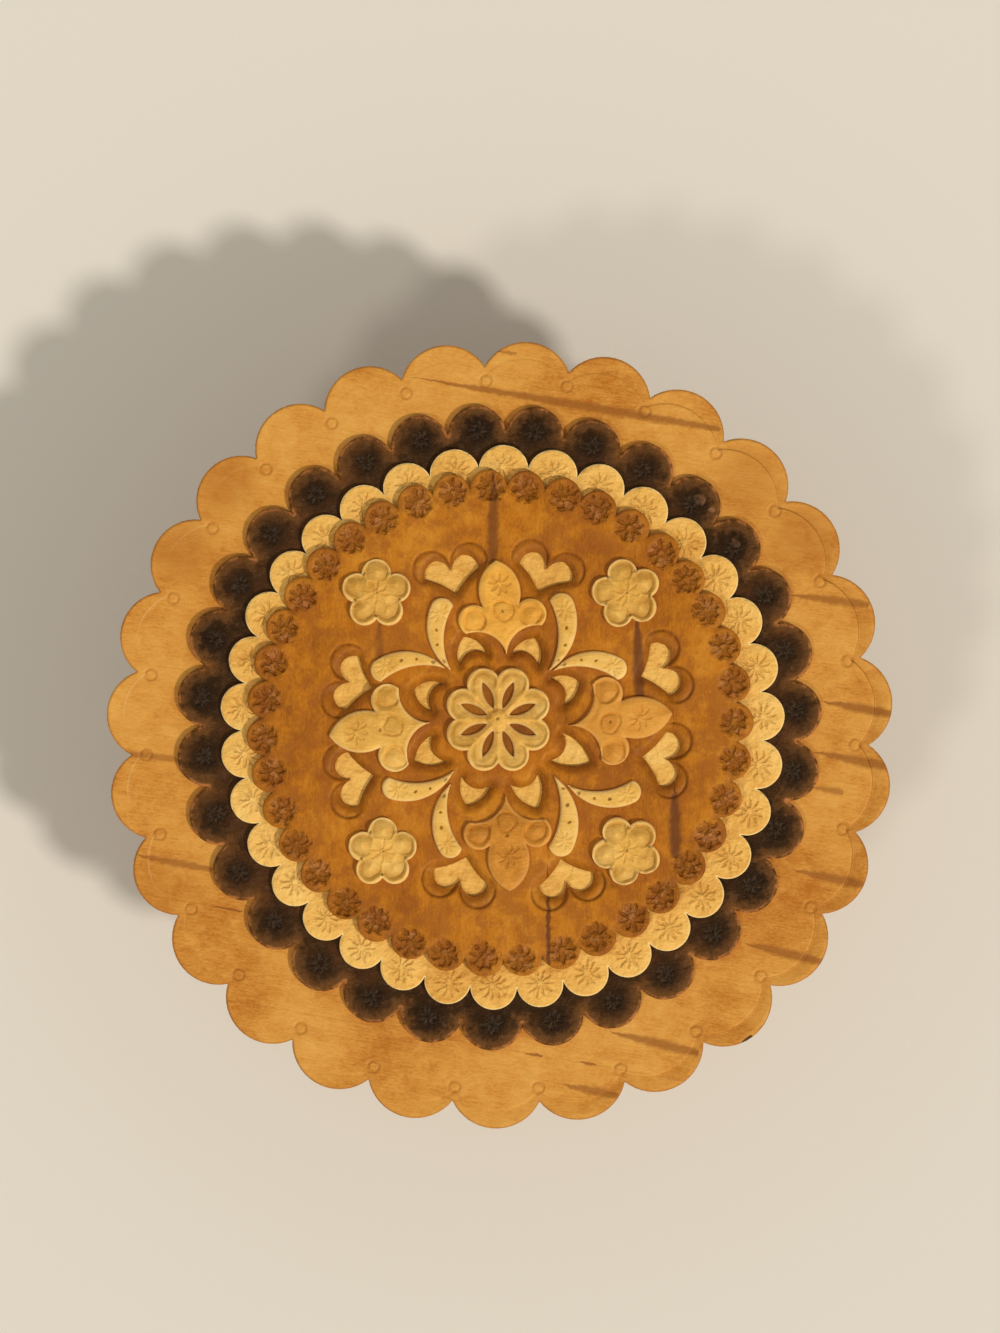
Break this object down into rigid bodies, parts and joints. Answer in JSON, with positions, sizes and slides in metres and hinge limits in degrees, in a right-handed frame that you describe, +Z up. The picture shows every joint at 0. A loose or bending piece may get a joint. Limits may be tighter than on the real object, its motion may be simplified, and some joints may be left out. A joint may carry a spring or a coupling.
{
  "type": "birch bark box",
  "caption": "Round birch bark box with a lift-off scalloped lid, layered scalloped discs and cut and stamped bark ornament.",
  "frame": {"origin": "centre of the underside of the base plate", "axes": "+Z up through the middle of the lid, +Y towards the top of the picture, +X to its right"},
  "size_m": [0.1646, 0.1648, 0.07],
  "materials": {
    "amber_bark": "birch bark, waxed, warm orange-yellow, with dark lenticels",
    "yellow_bark": "birch bark, smooth inner side, pale yellow",
    "brown_bark": "birch bark, stained brown",
    "burnt_bark": "birch bark, scorched almost black, slight sheen",
    "straw_bark": "birch bark, pale straw yellow",
    "honey_bark": "birch bark, honey yellow",
    "tan_bark": "birch bark, tan",
    "smooth_pale_bark": "birch bark, smooth inner side, satin",
    "cedar_board": "sawn softwood, planed"
  },
  "bodies": {
    "root": {"base_plate": "amber_bark", "floor_disc": "cedar_board", "floor_lining": "smooth_pale_bark", "inner_wall": "smooth_pale_bark", "pale_sleeve": "yellow_bark", "outer_wrap": "brown_bark", "foot_dark_band": "burnt_bark", "foot_yellow_band": "yellow_bark", "mouth_dark_band": "burnt_bark", "mouth_yellow_band": "yellow_bark"},
    "lid": {"lid_lower_sheet": "amber_bark", "lid_upper_sheet": "amber_bark", "collar_outer_ring": "smooth_pale_bark", "collar_inner_ring": "smooth_pale_bark", "lid_lining": "smooth_pale_bark", "dark_disc": "burnt_bark", "yellow_disc": "yellow_bark", "brown_medallion": "brown_bark", "centre_flower": "straw_bark", "tulip_north": "honey_bark", "tulip_east": "tan_bark", "tulip_south": "tan_bark", "tulip_west": "straw_bark", "corner_flower_north_east": "straw_bark", "corner_flower_south_east": "straw_bark", "corner_flower_south_west": "straw_bark", "corner_flower_north_west": "straw_bark", "crescent_north_east_left": "straw_bark", "crescent_north_east_right": "straw_bark", "crescent_south_east_left": "straw_bark", "crescent_south_east_right": "straw_bark", "crescent_south_west_left": "straw_bark", "crescent_south_west_right": "straw_bark", "crescent_north_west_left": "straw_bark", "crescent_north_west_right": "straw_bark"}
  },
  "joints": [
    {"name": "lid_lift", "type": "slide", "parent": "root", "child": "lid", "axis": [0, 0, 1], "range_m": [0, 0.09]}
  ]
}
